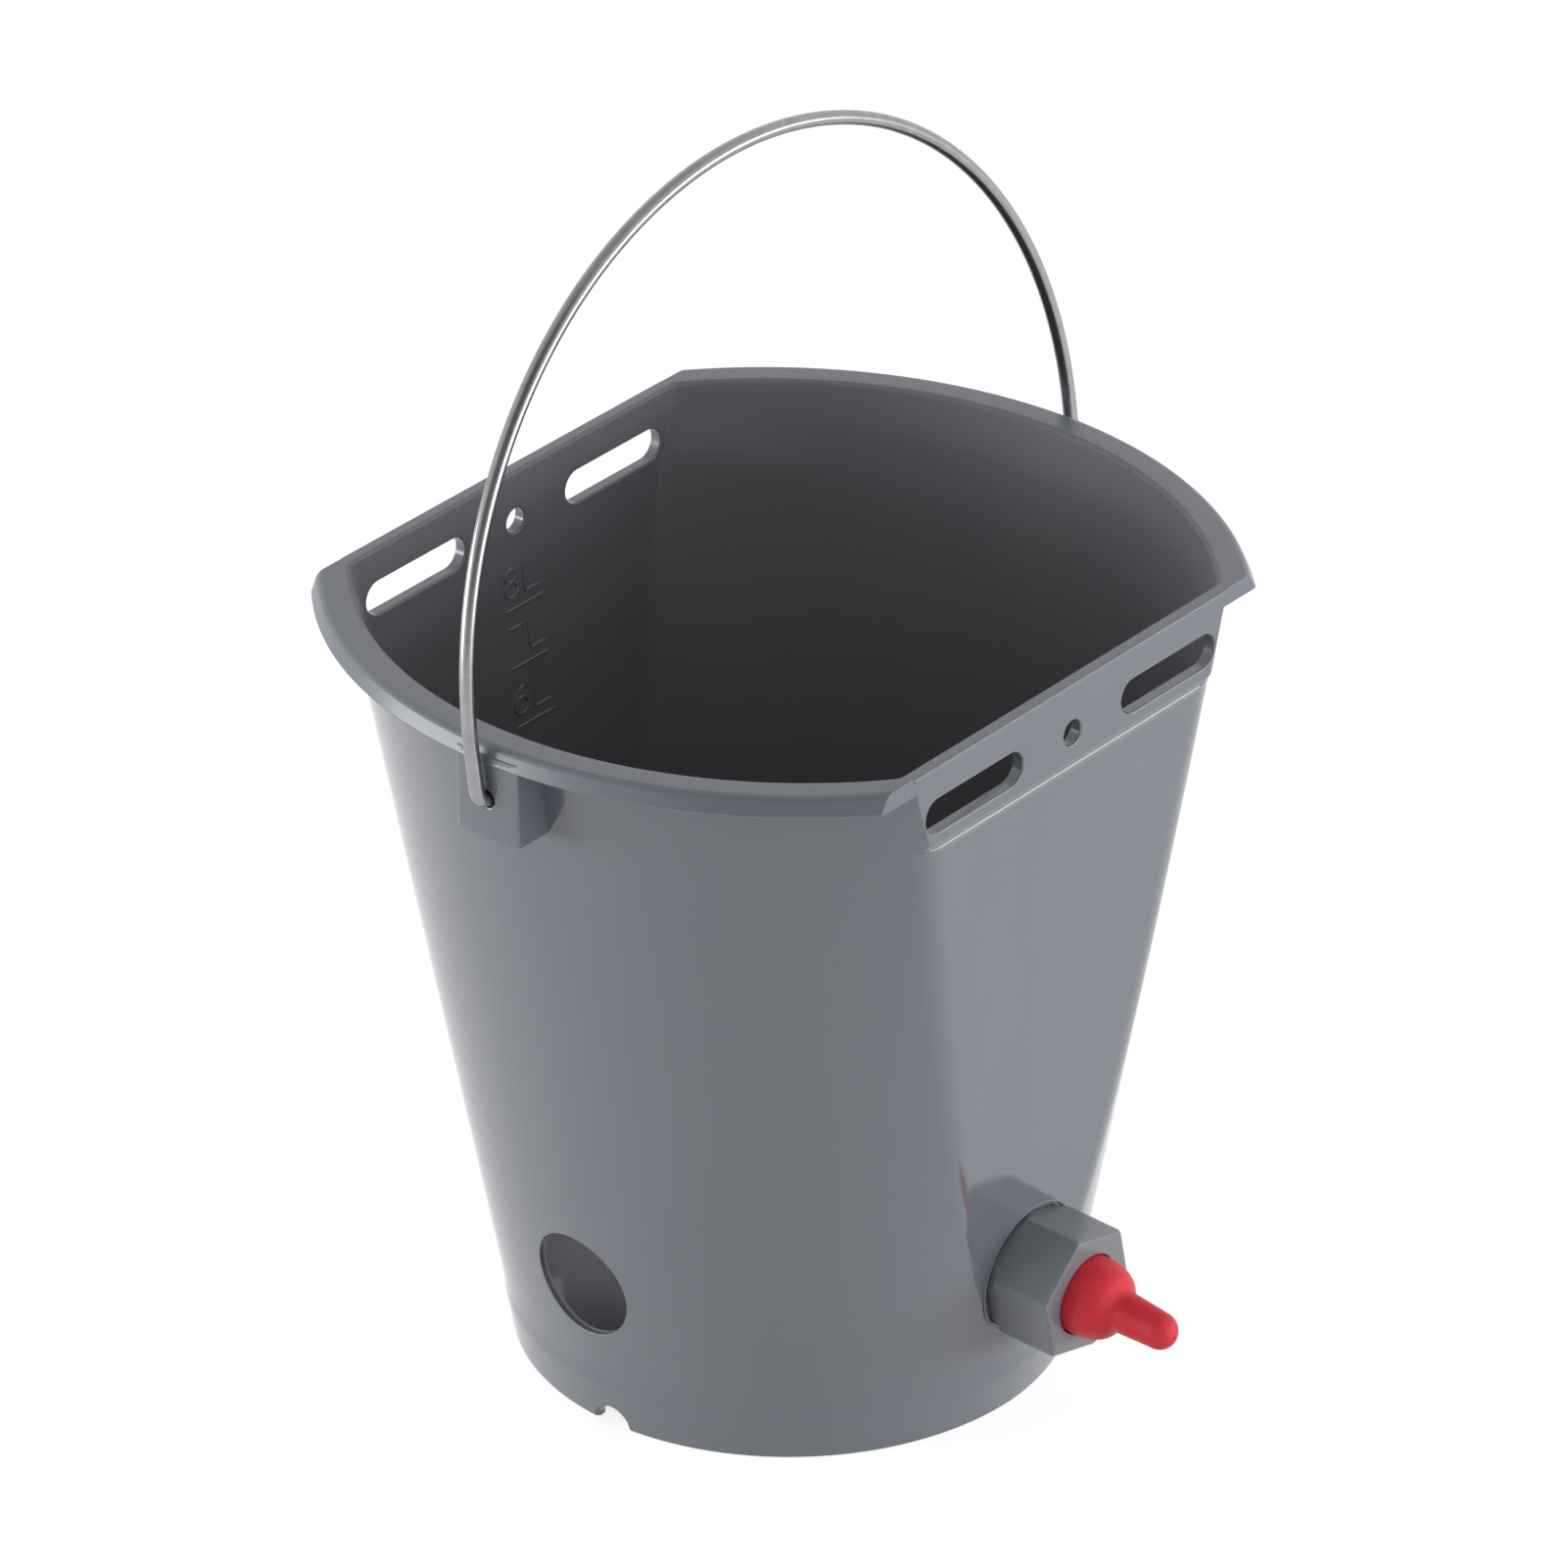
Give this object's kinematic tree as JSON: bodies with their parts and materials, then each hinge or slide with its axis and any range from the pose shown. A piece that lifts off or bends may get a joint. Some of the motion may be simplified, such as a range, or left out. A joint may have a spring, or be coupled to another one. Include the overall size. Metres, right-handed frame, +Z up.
{
  "type": "calf feeder bucket",
  "caption": "Grey plastic calf feeder bucket with two flat sides, hanging slots, a galvanised wire bail, a hexagon union nut and a red rubber drinking teat with a non-return ball valve.",
  "frame": {"origin": "centre of the base ring, on the ground", "axes": "+Z up; the teat is on the front flat side and points along -Y; the rear flat side faces +Y; the bail pivots on a line along X"},
  "size_m": [0.3136, 0.2857, 0.4344],
  "materials": {
    "grey_plastic": "semi-gloss moulded polypropylene, light blue-grey",
    "nut_plastic": "semi-gloss moulded plastic, a little darker grey",
    "galvanised_wire": "galvanised drawn steel wire",
    "red_rubber": "smooth red rubber, satin",
    "black_rubber": "black sealing rubber, matt",
    "white_plastic": "smooth white plastic"
  },
  "bodies": {
    "bucket": {"bucket": "grey_plastic", "valve_body": "grey_plastic", "wall_gasket": "black_rubber", "ball_stop": "grey_plastic"},
    "bail": {"bail": "galvanised_wire"},
    "teat": {"teat": "red_rubber"},
    "union_nut": {"union_nut": "nut_plastic"},
    "valve_ball": {"valve_ball": "white_plastic"}
  },
  "joints": [
    {"name": "bail_swing", "type": "hinge", "parent": "bucket", "child": "bail", "pos_m": [0, 0, 0.26425], "axis": [1, 0, 0], "range_deg": [-126, 140]},
    {"name": "teat_out", "type": "slide", "parent": "bucket", "child": "teat", "axis": [0, -0.9983, -0.0576], "range_m": [0, 0.012]},
    {"name": "nut_turn", "type": "hinge", "parent": "teat", "child": "union_nut", "pos_m": [0, -0.102, 0.056], "axis": [0, -0.9983, -0.0576], "range_deg": [0, 1080]},
    {"name": "ball_travel", "type": "slide", "parent": "bucket", "child": "valve_ball", "axis": [0, 0.9983, 0.0576], "range_m": [0, 0.0045]}
  ],
  "couplings": [
    {"joint": "teat_out", "follows": "nut_turn", "m_per_rad": 0.00063662}
  ]
}
